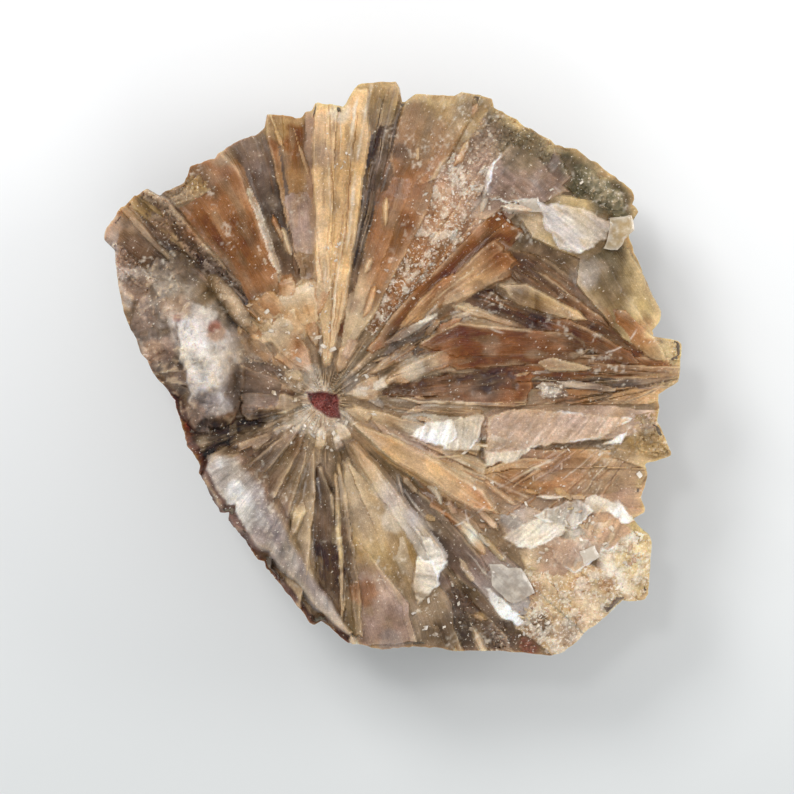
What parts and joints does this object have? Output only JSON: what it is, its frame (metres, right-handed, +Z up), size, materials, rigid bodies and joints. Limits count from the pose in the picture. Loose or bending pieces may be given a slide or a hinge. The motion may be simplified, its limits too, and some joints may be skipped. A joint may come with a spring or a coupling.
{
  "type": "gypsum specimen",
  "caption": "Hand specimen of brown gypsum: blades radiating from one centre, grown together into one solid, with a rough crust on its outer wall and back.",
  "frame": {"origin": "on the flat patch that the specimen rests on, right below the centre that the blades radiate from", "axes": "+Z up, away from the resting surface and out of the crystal face; +X towards the lobe on the rim farthest from the crusted side; +Y across the face"},
  "size_m": [0.0379, 0.0379, 0.0134],
  "materials": {
    "gypsum": "satin"
  },
  "bodies": {
    "root": {"gypsum_specimen": "gypsum"}
  },
  "joints": []
}
